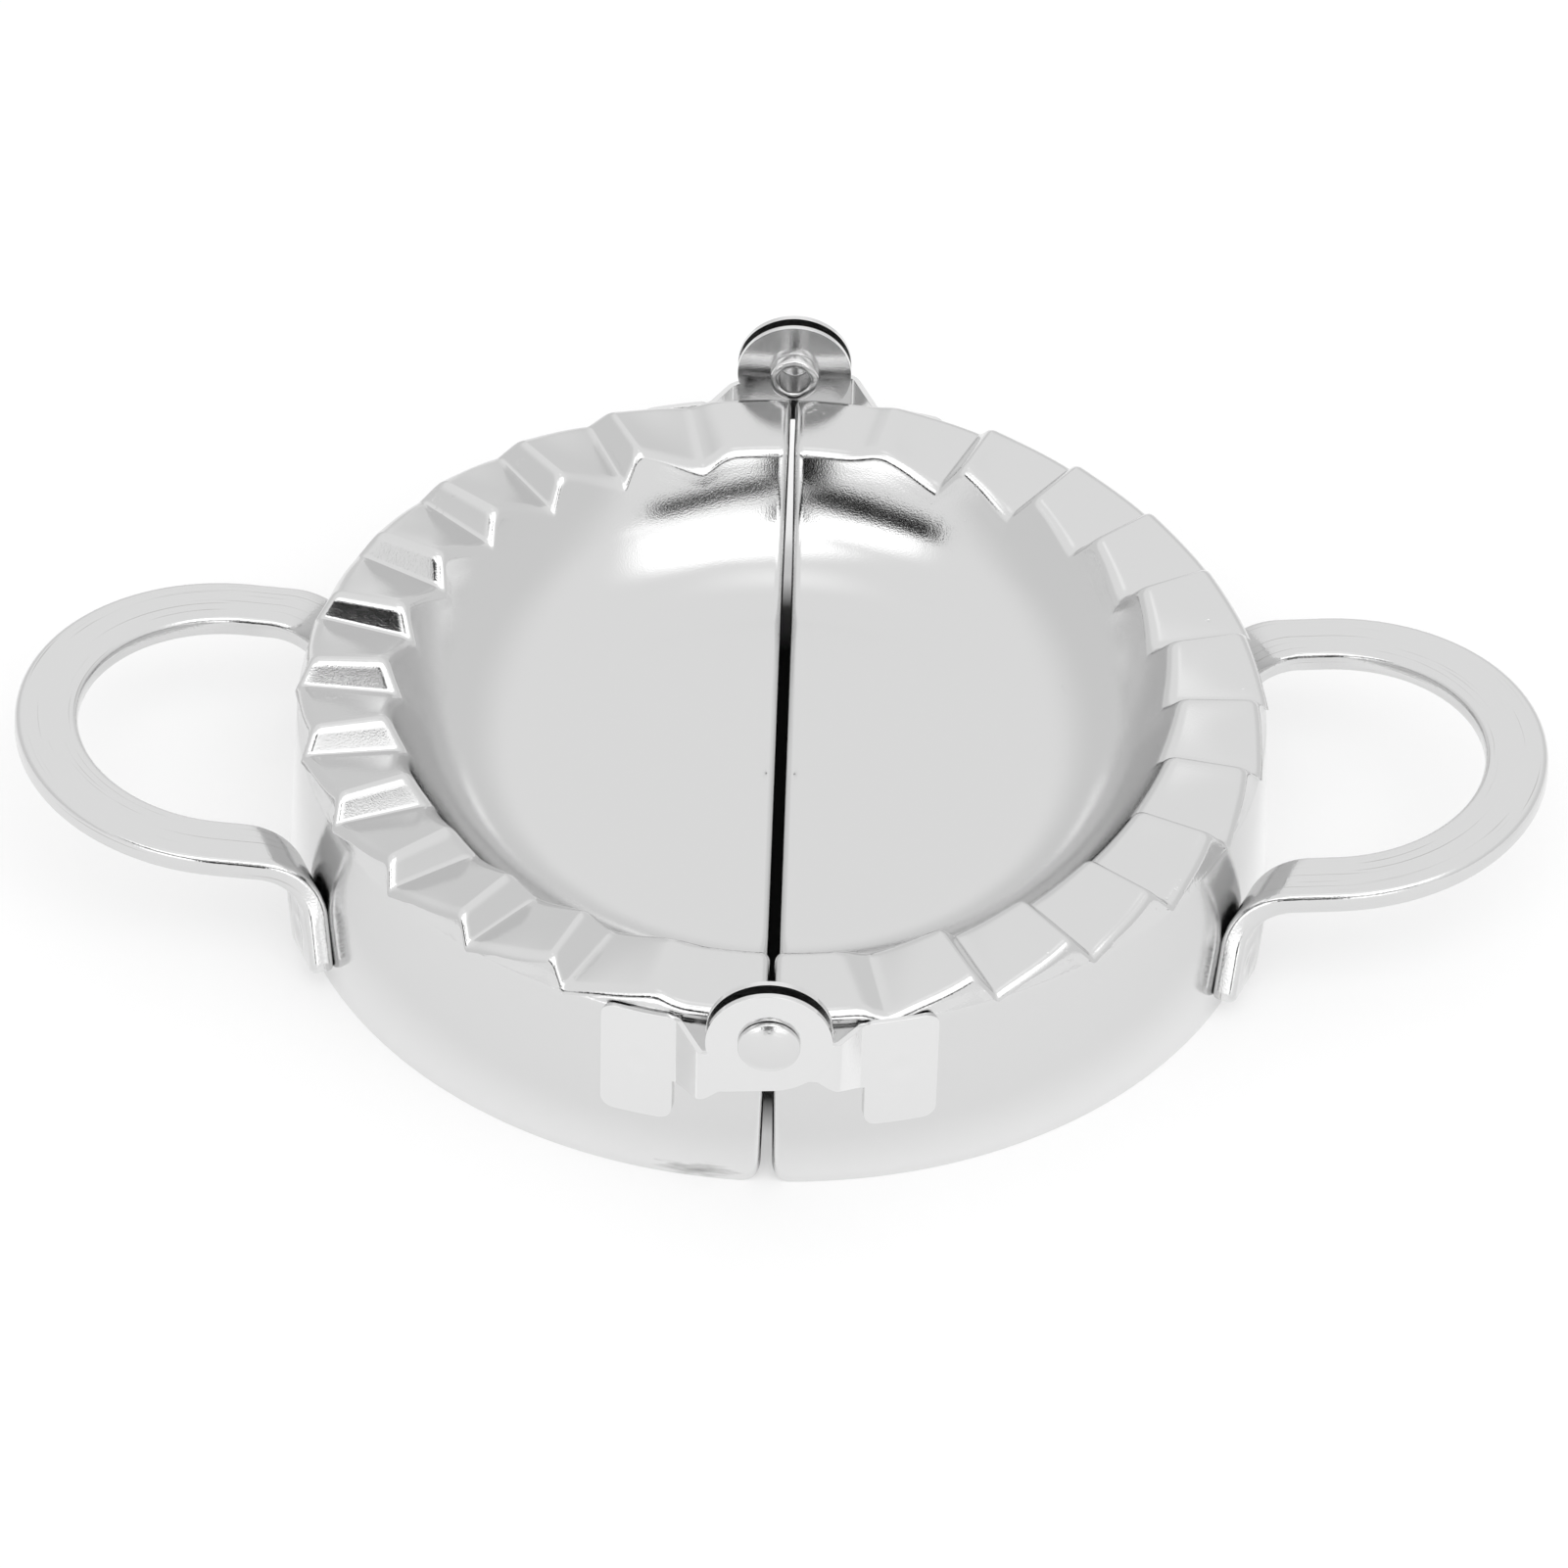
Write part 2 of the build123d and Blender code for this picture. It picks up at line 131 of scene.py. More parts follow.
def dish_profile(outer, inner, depth, foot_lift, edge_in):
    """Profile of the sheet as complex numbers, radius + height * 1j, one row per station from the foot
    over the rim to the middle of the bowl: straight runs and arcs moved in square to the sheet by
    depth, with each outside corner a parabola between two points at equal distances from it. The rim's
    edges stand at the heights outer and inner."""
    flare, shoulder = np.radians(SKIRT_FLARE), np.radians(SHOULDER_SLOPE)

    def skirt(z):
        return FOOT_RADIUS - z * np.tan(flare) - depth / np.cos(flare) + 1j * z

    def between(start, end, count):
        share = np.linspace(0, 1, count + 2)[1:-1, None]
        return start + (end - start) * share

    def corner(vertex, before, after, radius, turn_by, count):
        tightest = 0.06
        reach = np.maximum(radius - depth, tightest) * np.tan(np.radians(turn_by) / 2)
        share = np.linspace(0, 1, count)[:, None]
        return parabola(vertex - before * reach, vertex, vertex + after * reach, share), reach

    # The sharp corners: skirt to shoulder, shoulder to rim, rim to wall.
    lean = 1 / np.tan(shoulder) - np.tan(flare)
    moved = depth * (1 / np.cos(flare) - 1 / np.sin(shoulder))
    shoulder_z = RIM_HEIGHT - SHOULDER_INSET / lean + moved / lean
    shoulder_foot = skirt(shoulder_z)
    rim_out = RIM_OUTER_RADIUS + (RIM_HEIGHT - outer + depth) / np.tan(shoulder) - depth / np.sin(shoulder)
    rim_out = rim_out + 1j * (outer - depth)
    turn = np.radians(WALL_BREAK)
    fillet, curve = FLOOR_FILLET + depth, WALL_CURVE + depth
    fillet_centre_z = BOWL_FLOOR + FLOOR_FILLET
    curve_centre = FLOOR_RADIUS + (FLOOR_FILLET - WALL_CURVE) * np.sin(turn)
    curve_centre_z = fillet_centre_z + (WALL_CURVE - FLOOR_FILLET) * np.cos(turn)
    top_slope = np.arccos((curve_centre_z - (inner - depth)) / curve)
    rim_in = curve_centre + curve * np.sin(top_slope) + 1j * (inner - depth)

    # The same corners rounded.
    up_skirt = -np.sin(flare) + 1j * np.cos(flare)
    up_shoulder = -np.cos(shoulder) + 1j * np.sin(shoulder)
    across = (rim_in - rim_out) / np.abs(rim_in - rim_out)
    down_wall = -np.cos(top_slope) - 1j * np.sin(top_slope)
    low_turn = 90 - SKIRT_FLARE - SHOULDER_SLOPE
    low_arc, _ = corner(shoulder_foot, up_skirt, up_shoulder, SHOULDER_FOLD, low_turn, 6)
    outer_arc, _ = corner(rim_out, up_shoulder, across, OUTER_FOLD, SHOULDER_SLOPE, 10)
    inner_arc, reach = corner(rim_in, across, down_wall, INNER_FOLD, INNER_TURN, 14)

    # The runs from the rounded cut foot to the middle.
    edge = [skirt(foot_lift + CUT_EDGE * (1 - share)) - edge_in * share ** 2 for share in (1.0, 0.65, 0.3)]
    foot = skirt(foot_lift + CUT_EDGE)
    start_slope = top_slope - reach / curve
    slope = start_slope + (turn - start_slope) * np.linspace(0, 1, 9)[1:, None]
    wall = curve_centre + curve * np.sin(slope) + 1j * (curve_centre_z - curve * np.cos(slope))
    slope = turn * np.linspace(1, 0, 19)[1:, None]
    low_wall = FLOOR_RADIUS + fillet * np.sin(slope) + 1j * (fillet_centre_z - fillet * np.cos(slope))
    last = seam_half_gap(BOWL_FLOOR) + SEAM_BEND
    floor_radii = np.array((22.0, 20, 17.5, 15, 12, 9, 6.5, 4.5, 3, 2.2, 1.8, last))
    floor = floor_radii[:, None] + 1j * (BOWL_FLOOR - depth)
    return np.concatenate((edge, foot[None], between(foot, low_arc[0], 12), low_arc,
                           between(low_arc[-1], outer_arc[0], 2), outer_arc,
                           between(outer_arc[-1], inner_arc[0], 9), inner_arc, wall, low_wall, floor))


def column_angles():
    """Angles of the mesh's columns round one half: close together in each fold, wider between."""
    near_seam = np.concatenate((np.arange(0, 3, 0.35), np.arange(3.2, 8.4, 0.9), np.arange(8.3, 9.7, 0.4)))
    fold = np.linspace(-1, 1, 10)
    crest, valley = CREST_SOFTNESS * fold - STEP_SPAN / 2, VALLEY_SOFTNESS * fold[::2] + STEP_SPAN / 2
    step = np.concatenate((crest[crest < valley[0] - 0.1], valley))
    climb = np.linspace(step[-1], STEP_PITCH + step[0], 9)[1:-1]
    steps = RIM_FLAT + STEP_PITCH * np.arange(STEP_COUNT)[:, None] + np.concatenate((step, climb))
    steps = steps[steps < 180 - RIM_FLAT + step[-1] + 0.01]
    return np.concatenate((near_seam, steps, (180 - near_seam)[::-1]))


def strip(first, second, closed=False):
    """Quads between two rows of vertex numbers."""
    if closed:
        first, second = np.append(first, first[0]), np.append(second, second[0])
    return np.column_stack((first[:-1], first[1:], second[1:], second[:-1])).tolist()


def lattice(grid, closed=False, base=0):
    """Vertex numbers of a grid of points, from base on, and its quads; a closed grid joins up round."""
    index = base + np.arange(grid.shape[0] * grid.shape[1]).reshape(grid.shape[:2])
    return index, [quad for row, following in zip(index, index[1:]) for quad in strip(row, following, closed)]


def solid(name, points, faces, smooth_below=35, place=None):
    """A closed mesh object at the origin from points in millimetres: doubles are merged, faces turned
    outwards, and edges sharper than the given angle kept crisp. A place is one vector per point, kept
    for the material."""
    mesh = bpy.data.meshes.new(name)
    mesh.from_pydata(np.asarray(points) * 0.001, [], faces)
    if place is not None:
        mesh.attributes.new("place", "FLOAT_VECTOR", "POINT").data.foreach_set("vector", place.ravel())
    shape = bmesh.new()
    shape.from_mesh(mesh)
    bmesh.ops.remove_doubles(shape, verts=shape.verts, dist=2e-6)
    bmesh.ops.recalc_face_normals(shape, faces=shape.faces)
    shape.to_mesh(mesh)
    shape.free()
    mesh.shade_smooth()
    mesh.set_sharp_from_angle(angle=np.radians(smooth_below))
    piece = bpy.data.objects.new(name, mesh)
    bpy.context.scene.collection.objects.link(piece)
    return piece


def half_dish():
    """Points and faces of the left half. Its section across the seam is one closed loop: over the
    outside, round the flange, back along the inside and round the other flange. Each column of the
    grid carries one point of that loop along the profile."""
    angles = column_angles()
    # One flange's section as steps away from the seam face and down into the sheet: the bend's outside,
    # the seam face, its rounded cut edge, and the same back on the inside.
    quarter = np.radians(np.linspace(0, 90, 7))
    inside = SEAM_BEND - SHEET
    flange_depths = np.array((1.3, 1.75, SEAM_FLANGE - CUT_EDGE))
    rounding = CUT_EDGE * np.array(((0.3, 0.7), (1.0, 1.0)))
    path = np.array(
        [(SEAM_BEND * (1 - np.sin(a)), SEAM_BEND * (1 - np.cos(a))) for a in quarter]
        + [(0, d) for d in flange_depths]
        + [(e, SEAM_FLANGE - CUT_EDGE + d) for e, d in rounding]
        + [(SHEET - e, SEAM_FLANGE - CUT_EDGE + d) for e, d in rounding[::-1]]
        + [(SHEET, d) for d in flange_depths[::-1]]
        + [(SEAM_BEND - inside * np.sin(a), SEAM_BEND - inside * np.cos(a)) for a in quarter[::-1]])
    away, depth = path.T
    # The way into the sheet at each of those points, along which the foot's cut edge is rounded.
    inward = np.array([(np.sin(a), np.cos(a)) for a in quarter] + [(1, 0)] * 4)
    inward = np.concatenate((inward, ((0.7, -0.7), (-0.7, -0.7)), -inward[::-1]))
    count, turn = len(angles), len(path)

    def lift(distance):
        """Height of the rounded lower corner at a distance from the seam face."""
        return SEAM_CORNER - np.sqrt(SEAM_CORNER ** 2 - np.clip(SEAM_CORNER - distance, 0, None) ** 2)

    def crowded(angle, start, reach):
        """The angle moved off the seam: by start at the seam itself, by nothing from reach on."""
        return angle + start * np.clip(1 - angle / reach, 0, 1)

    def sheet_side(side_depth, sign):
        """The outside of the sheet, or the inside, from the rear seam round to the front one."""
        off_seam = np.minimum(angles, 180 - angles)
        foot_start = np.degrees(np.arcsin((seam_half_gap(0) + SEAM_BEND) / FOOT_RADIUS))
        foot_angle = np.radians(crowded(off_seam, foot_start, SEAM_CROWD))
        distance = FOOT_RADIUS * np.sin(foot_angle) - seam_half_gap(0)
        outer, inner = (rim_height(angles, drop) for drop in VALLEY_DROP)
        rows = dish_profile(outer, inner, np.full(count, side_depth), lift(distance), sign * CUT_EDGE)
        start = np.degrees(np.arcsin(np.clip((seam_half_gap(rows.imag) + SEAM_BEND) / rows.real, 0, 1)))
        turned = crowded(off_seam, start, np.clip(2 * start, SEAM_CROWD, 90))
        turned = np.where(angles > 90, 180 - turned, turned) + parallel_folds(angles, rows.real)
        turned = np.radians(turned)
        return np.stack((-rows.real * np.sin(turned), rows.real * np.cos(turned), rows.imag), -1)

    def seam_side(sign):
        """The flange at the front, sign -1, or at the rear, sign 1."""
        level = np.full(turn, RIM_HEIGHT)
        rows = dish_profile(level, level, depth, lift(away), CUT_EDGE * inward[:, 1])
        shift = np.zeros(rows.shape)   # of the three stations that round the cut foot
        shift[:3] = CUT_EDGE * inward[:, 0] * np.array(((1.0,), (0.42,), (0.09,)))
        x = -(seam_half_gap(rows.imag) + away + shift)
        y = np.sqrt(np.clip(rows.real ** 2 - x ** 2, 0, None))
        return np.stack((x, sign * y, rows.imag), -1)

    grid = np.concatenate((sheet_side(0.0, 1), seam_side(-1), sheet_side(SHEET, -1)[:, ::-1],
                           seam_side(1)[:, ::-1]), axis=1)
    index, faces = lattice(grid, closed=True)
    # The cut foot joins outside to inside; the last row joins the front and rear flange at the middle.
    half = turn // 2
    outer = np.concatenate((index[0, -half:], index[0, :count + half]))
    inner = np.concatenate((index[0, -half - 1:-turn - 1:-1],
                            index[0, 2 * count + turn - 1:count + half - 1:-1]))
    faces += strip(outer, inner) + strip(index[-1, count:count + turn], index[-1, :-turn - 1:-1])
    return grid.reshape(-1, 3), faces


def linear(hex_colour):
    """Linear colour of an sRGB hex value such as 'C8C8C6'."""
    parts = np.array([int(hex_colour[i:i + 2], 16) for i in (0, 2, 4)]) / 255
    parts = np.where(parts <= 0.04045, parts / 12.92, ((parts + 0.055) / 1.055) ** 2.4)
    return (*parts, 1.0)


def add(tree, kind, inputs=None, **settings):
    """A node of that kind, with its settings, and with each input linked or set to a value."""
    node = tree.nodes.new(kind)
    for name, value in settings.items():
        setattr(node, name, value)
    for name, value in (inputs or {}).items():
        if isinstance(value, bpy.types.NodeSocket):
            tree.links.new(value, node.inputs[name])
        else:
            node.inputs[name].default_value = value
    return node


def steel(name, colour, roughness, grain, grain_slope, wave_slope):
    """Bare stainless steel: a fine grain, its size in millimetres, and the waviness left by rolling and
    pressing are bump; roughness is made uneven by handling."""
    wave, handling = 5.0, 14.0    # millimetres
    material = bpy.data.materials.new(name)
    material.use_nodes = True
    tree = material.node_tree
    shader = tree.nodes["Principled BSDF"]
    place = add(tree, "ShaderNodeTexCoord").outputs["Object"]
    dots = add(tree, "ShaderNodeTexNoise", {"Vector": place, "Scale": 1000 / grain, "Detail": 2.0})
    swell = add(tree, "ShaderNodeTexNoise", {"Vector": place, "Scale": 1000 / wave, "Detail": 1.0})
    cloud = add(tree, "ShaderNodeTexNoise", {"Vector": place, "Scale": 1000 / handling, "Detail": 4.0,
                                             "Distortion": 0.6})
    uneven = add(tree, "ShaderNodeMapRange", {"Value": cloud.outputs["Fac"], "From Min": 0.3, "From Max": 0.7,
                                              "To Min": roughness * 0.85, "To Max": roughness * 1.2})
    swell = add(tree, "ShaderNodeBump", {"Height": swell.outputs["Fac"], "Strength": 1.0,
                                         "Distance": wave_slope * wave * 0.001})
    bump = add(tree, "ShaderNodeBump", {"Height": dots.outputs["Fac"], "Strength": 1.0,
                                        "Distance": grain_slope * grain * 0.001,
                                        "Normal": swell.outputs["Normal"]})
    shader.inputs["Base Color"].default_value = linear(colour)
    shader.inputs["Metallic"].default_value = 1.0
    tree.links.new(uneven.outputs["Result"], shader.inputs["Roughness"])
    tree.links.new(bump.outputs["Normal"], shader.inputs["Normal"])
    return material


def marks(material, mask, depth, darken=None):
    """Lays marks over a steel: where the mask is 1 the surface sinks by depth in millimetres, and the
    metal may turn to a darker colour."""
    tree = material.node_tree
    shader = tree.nodes["Principled BSDF"]
    dent = add(tree, "ShaderNodeBump", {"Height": mask, "Strength": 1.0, "Distance": depth * 0.001,
                                        "Normal": shader.inputs["Normal"].links[0].from_socket}, invert=True)
    tree.links.new(dent.outputs["Normal"], shader.inputs["Normal"])
    if darken:
        tint = add(tree, "ShaderNodeMix", {"Factor": mask}, data_type="RGBA")
        tint.inputs[6].default_value = shader.inputs["Base Color"].default_value
        tint.inputs[7].default_value = linear(darken)
        tree.links.new(tint.outputs[2], shader.inputs["Base Color"])


def press_pits(tree):
    """Mask of the fine pits where the press tool rubbed: the peaks of a 0.45 mm noise, only in patches
    of about 5 mm, and mostly along the rim's outer edge."""
    pit, patch = 0.45, 5.0        # millimetres
    place = add(tree, "ShaderNodeTexCoord").outputs["Object"]
    pits = add(tree, "ShaderNodeTexNoise", {"Vector": place, "Scale": 1000 / pit, "Detail": 1.0})
    patches = add(tree, "ShaderNodeTexNoise", {"Vector": place, "Scale": 1000 / patch, "Detail": 2.0})
    height = add(tree, "ShaderNodeSeparateXYZ", {0: place}).outputs["Z"]
    level = add(tree, "ShaderNodeVectorMath", {0: place, 1: (1, 1, 0)}, operation="MULTIPLY").outputs[0]
    radius = add(tree, "ShaderNodeVectorMath", {0: level}, operation="LENGTH").outputs["Value"]
    outside = add(tree, "ShaderNodeMapRange", {"Value": radius, "From Min": 0.0425, "From Max": 0.0455})
    above = add(tree, "ShaderNodeMapRange", {"Value": height, "From Min": 0.0165, "From Max": 0.0185})
    edge = add(tree, "ShaderNodeMath", {0: outside.outputs["Result"], 1: above.outputs["Result"]},
               operation="MULTIPLY").outputs[0]
    where = add(tree, "ShaderNodeMath", {0: edge, 1: 0.13, 2: patches.outputs["Fac"]},
                operation="MULTIPLY_ADD")
    where = add(tree, "ShaderNodeMapRange", {"Value": where.outputs[0], "From Min": 0.68, "From Max": 0.76})
    pits = add(tree, "ShaderNodeMapRange", {"Value": pits.outputs["Fac"], "From Min": 0.66, "From Max": 0.72})
    return add(tree, "ShaderNodeMath", {0: pits.outputs["Result"], 1: where.outputs["Result"]},
               operation="MULTIPLY").outputs[0]


def foot_smear(tree):
    """Mask of a dull smear low on the skirt beside the front seam, where the foot rubs on the board:
    level streaks, 2 mm long and 0.3 mm high, that thin out from its middle in an ellipsoid."""
    middle, reach = (-0.0065, -0.048, 0.0009), (0.006, 0.01, 0.0013)    # metres
    place = add(tree, "ShaderNodeTexCoord").outputs["Object"]
    lay = add(tree, "ShaderNodeVectorMath", {0: place, 1: (500, 500, 3000)}, operation="MULTIPLY").outputs[0]
    streaks = add(tree, "ShaderNodeTexNoise", {"Vector": lay, "Scale": 1.0, "Detail": 4.0}).outputs["Fac"]
    apart = add(tree, "ShaderNodeVectorMath", {0: place, 1: middle}, operation="SUBTRACT")
    apart = add(tree, "ShaderNodeVectorMath", {0: apart.outputs[0], 1: [1 / size for size in reach]},
                operation="MULTIPLY")
    apart = add(tree, "ShaderNodeVectorMath", {0: apart.outputs[0]}, operation="LENGTH")
    near = add(tree, "ShaderNodeMapRange", {"Value": apart.outputs["Value"], "From Max": 1.2,
                                            "To Min": 0.35, "To Max": -0.2})
    smear = add(tree, "ShaderNodeMath", {0: streaks, 1: 0.5, 2: near.outputs["Result"]},
                operation="MULTIPLY_ADD")
    smear = add(tree, "ShaderNodeMapRange", {"Value": smear.outputs[0], "From Min": 0.3, "From Max": 0.75})
    return smear.outputs["Result"]


# Cold-rolled sheet with a satin skin, pressed: mirrors the room softly, with grain where it is dark.
satin_sheet = steel("satin_cold_rolled_stainless", "D8D8D8", 0.105, 0.16, 0.05, 0.002)
marks(satin_sheet, press_pits(satin_sheet.node_tree), 0.02, darken="8C8B89")
marks(satin_sheet, foot_smear(satin_sheet.node_tree), 0.002, darken="7C7C7B")
dish_points, dish_faces = half_dish()
left_dish = solid("left_dish", dish_points, dish_faces)
right_dish = solid("right_dish", dish_points * (-1, -1, 1), dish_faces)
for dish, body, node in ((left_dish, "left_half", "left_shell"), (right_dish, "right_half", "right_shell")):
    dish.data.materials.append(satin_sheet)
    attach(dish, body)
    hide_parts(node)

# ======================================================================== hinge leaves
# Four tongues of 0.55 mm sheet, blanked with a round ear, bent out from the skirt and spot-welded to it by
# their tabs. At each hinge the ear of one half lies outside the ear of the other.
LEAF_SHEET = 0.55
HINGE_HEIGHT = 20.7
INNER_EAR, OUTER_EAR = 49.7, 51.35            # inner face of an ear, from the middle
EAR_RADIUS = 5.85
EAR_BORE = 2.05
EAR_BEND = 6.2                # where the ear bends into the neck
EAR_NOTCH = 1.6               # how far the neck's upper edge has dropped there
HEEL = (4.6, -6.15)           # lower corner of the ear, from the hinge line
NECK_TOP, NECK_BOTTOM = 1.9, 9.2              # below the hinge line, where the neck meets the tab
NECK_LANDING = 7.0            # level below the hinge line at which the neck's slant is set
NECK_TURN = 62.0              # of the ear's bend
LEAF_BEND = 1.0               # radius of the ear's bend
TAB_BEND = 0.4                # reach of the tab's tighter bend to each side
TAB_START = 8.5
TAB_WIDTH = 7.1
TAB_TOP, TAB_BOTTOM = 19.0, 7.0
TAB_CORNER = 1.2
TAB_RISE = 0.5                # width over which the tab's upper edge climbs from the neck's
TAB_STANDOFF = 0.03           # air between tab and skirt
SPOT_WELD = (12.1, 13.3)      # along X and above the table
BLANKED_EDGE = 0.13           # rounding of the blanked edges
NECK_ROWS, TAB_ROWS = 15, 13


def leaf_sheet(ear):
    """Middle surface of the rear right leaf as points and quads, in three grids. The ear is a fan of
    rings from the bore to its outline. The neck and the tab above its foot are columns between a lower
    and an upper edge: they leave the ear's plane, run straight and land on the skirt's cone, rounded at
    both bends. The rest of the tab hangs below them on the cone, which is dished at the spot weld."""
    ear_depth = ear + LEAF_SHEET / 2
    bend_reach = np.tan(np.radians(NECK_TURN / 2)) * LEAF_BEND
    join = EAR_BEND - bend_reach
    levels = np.linspace(0, 1, NECK_ROWS)
    shares = np.linspace(0, 1, 7)

    def neck_heights(x):
        """Heights of the neck's rows at x from the hinge line, lowest first."""
        lower = HEEL[1] + (x - HEEL[0]) * (HEEL[1] + NECK_BOTTOM) / (HEEL[0] - TAB_START)
        upper = np.interp(x, (0, EAR_BEND, TAB_START), (0, -EAR_NOTCH, -NECK_TOP))
        return lower + (upper - lower) * levels

    def skirt_depth(x, z):
        """Distance of the tab's middle surface from the hinge's upright plane through the axis."""
        flare = np.radians(SKIRT_FLARE)
        radius = FOOT_RADIUS - z * np.tan(flare) + (LEAF_SHEET / 2 + TAB_STANDOFF) / np.cos(flare)
        from_weld = np.hypot(x - SPOT_WELD[0], z - SPOT_WELD[1])
        dent = 0.14 * np.exp(-from_weld ** 2 / 0.9)
        ring = 0.07 * np.exp(-((from_weld - 1.5) / 0.35) ** 2)
        return np.sqrt(radius ** 2 - x ** 2) - dent + ring

    def column(x, y, z):
        return np.column_stack(np.broadcast_arrays(x, y, z))

    def corner_cut(inset):
        """How far a rounded corner of the tab draws in at a distance past its start."""
        return TAB_CORNER - np.sqrt(max(TAB_CORNER ** 2 - max(inset, 0) ** 2, 0))

    # Ear: its outline runs from the notch round to the tangent to the heel, along the bend and up it.
    tangent = np.arctan2(HEEL[1], HEEL[0]) - np.arccos(EAR_RADIUS / np.hypot(*HEEL)) + 2 * np.pi
    around = np.linspace(0.05 - np.arctan(EAR_NOTCH / EAR_BEND), tangent, 61)
    arc = EAR_RADIUS * np.column_stack((np.cos(around), np.sin(around)))
    join_z = neck_heights(join)
    heel_run = np.linspace(arc[-1], HEEL, 7)[1:]
    low_run = np.linspace(HEEL, (join, join_z[0]), 4)[1:-1]
    outline = np.concatenate((arc, heel_run, low_run, np.column_stack((np.full(NECK_ROWS, join), join_z))))
    bore = EAR_BORE * outline / np.linalg.norm(outline, axis=1)[:, None]
    fan = bore + (outline - bore) * np.array((0, 0.12, 0.32, 0.55, 0.78, 0.93, 1))[:, None, None]
    fan = np.stack((fan[..., 0], np.full(fan.shape[:2], ear_depth), fan[..., 1] + HINGE_HEIGHT), -1)

    # Neck: bent from the ear's plane towards the skirt, straight, then bent on to the skirt.
    landing = skirt_depth(TAB_START, HINGE_HEIGHT - NECK_LANDING)
    slant = np.array((TAB_START - EAR_BEND, landing - ear_depth))
    slant = slant / np.hypot(*slant) * bend_reach
    neck = []
    for share in shares:
        x = parabola(join, EAR_BEND, EAR_BEND + slant[0], share)
        y = parabola(ear_depth, ear_depth, ear_depth + slant[1], share)
        neck.append(column(x, y, HINGE_HEIGHT + neck_heights(x)))
    edge_z = HINGE_HEIGHT + neck_heights(TAB_START)
    edge = column(TAB_START, skirt_depth(TAB_START, edge_z), edge_z)
    back = neck[-1] - edge
    before = edge + back * (TAB_BEND / np.linalg.norm(back, axis=1))[:, None]
    beyond_x = TAB_START + TAB_BEND
    beyond = column(beyond_x, skirt_depth(beyond_x, edge_z), edge_z)
    neck += [neck[-1] + (before - neck[-1]) * share for share in (0.33, 0.66)]
    neck += [parabola(before, edge, beyond, share) for share in shares]

    # Tab: columns close together at its rounded corners.
    tab_end = TAB_START + TAB_WIDTH
    tab_x = np.concatenate((TAB_START + TAB_CORNER * (1 - np.cos(np.radians(np.linspace(30, 90, 5)))),
                            np.linspace(TAB_START + TAB_CORNER, tab_end - TAB_CORNER, 15)[1:-1],
                            tab_end - TAB_CORNER + TAB_CORNER * np.sin(np.radians(np.linspace(0, 90, 7)))))
    tab_x = tab_x[tab_x > beyond_x + 0.05]
    for x in tab_x:
        climb = min((x - beyond_x) / TAB_RISE, 1)
        top = (1 - climb) * edge_z[-1] + climb * (TAB_TOP - corner_cut(x - tab_end + TAB_CORNER))
        z = edge_z[0] + (top - edge_z[0]) * levels
        neck.append(column(x, skirt_depth(x, z), z))
    hanging = []
    for x in np.append(beyond_x, tab_x):
        low = TAB_BOTTOM + corner_cut(max(beyond_x + TAB_CORNER - x, x - tab_end + TAB_CORNER))
        z = edge_z[0] + (low - edge_z[0]) * np.linspace(0, 1, TAB_ROWS)
        hanging.append(column(x, skirt_depth(x, z), z))

    points, faces = np.empty((0, 3)), []
    for grid, closed in ((fan, True), (np.array(neck), False), (np.array(hanging), False)):
        faces += lattice(grid, closed, base=len(points))[1]
        points = np.concatenate((points, grid.reshape(-1, 3)))
    return points, faces


# Blanked and tumbled sheet: lighter and a little duller than the dishes, so the tabs stand out pale.
tumbled_leaf = steel("tumbled_stainless_leaf", "E3E3E3", 0.13, 0.2, 0.05, 0.002)


def leaf(name, ear, flip, body):
    """One leaf: the sheet turned to its corner, thickened evenly and with its blanked edges rounded."""
    points, faces = leaf_sheet(ear)
    piece = solid(name, points * flip, faces)
    sheet = piece.modifiers.new("sheet", "SOLIDIFY")
    sheet.thickness, sheet.offset, sheet.use_even_offset = LEAF_SHEET * 0.001, 0.0, True
    edge = piece.modifiers.new("blanked_edge", "BEVEL")
    edge.width, edge.segments = BLANKED_EDGE * 0.001, 3
    edge.limit_method, edge.angle_limit = "ANGLE", np.radians(55)
    edge.harden_normals = True
    piece.data.materials.append(tumbled_leaf)
    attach(piece, body)
    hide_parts(name)


leaf("left_front_leaf", OUTER_EAR, (-1, -1, 1), "left_half")
leaf("left_back_leaf", INNER_EAR, (-1, 1, 1), "left_half")
leaf("right_front_leaf", INNER_EAR, (1, -1, 1), "right_half")
leaf("right_back_leaf", OUTER_EAR, (1, 1, 1), "right_half")

# ======================================================================== rivets
# Semi-tubular steel rivets, one at each hinge. The domed head lies outside; the bored tail is rolled over
# on the inner ear, which leaves its lip a little uneven.
SHANK_RADIUS = 2.0
HEAD_RADIUS = 2.88
HEAD_BASE, HEAD_SHOULDER, HEAD_TOP = 52.0, 52.45, 53.15
TAIL_RADIUS = 2.55
TAIL_END = 48.4
BORE_RADIUS = 1.6
BORE_FLOOR = 51.6
DIE_RINGS = 0.42              # pitch of the faint rings


def round_corner(profile, radii, count=5):
    """The open profile with each inner vertex replaced by a parabola of about the given radius."""
    rounded = [profile[0]]
    for before, vertex, after, radius in zip(profile, profile[1:], profile[2:], radii):
        back, on = before - vertex, after - vertex
        reach = min(radius, abs(back) / 2, abs(on) / 2)
        if reach == 0:
            rounded.append(vertex)
            continue
        start, end = vertex + back / abs(back) * reach, vertex + on / abs(on) * reach
        rounded.extend(parabola(start, vertex, end, np.linspace(0, 1, count)))
    return np.array(rounded + [profile[-1]])


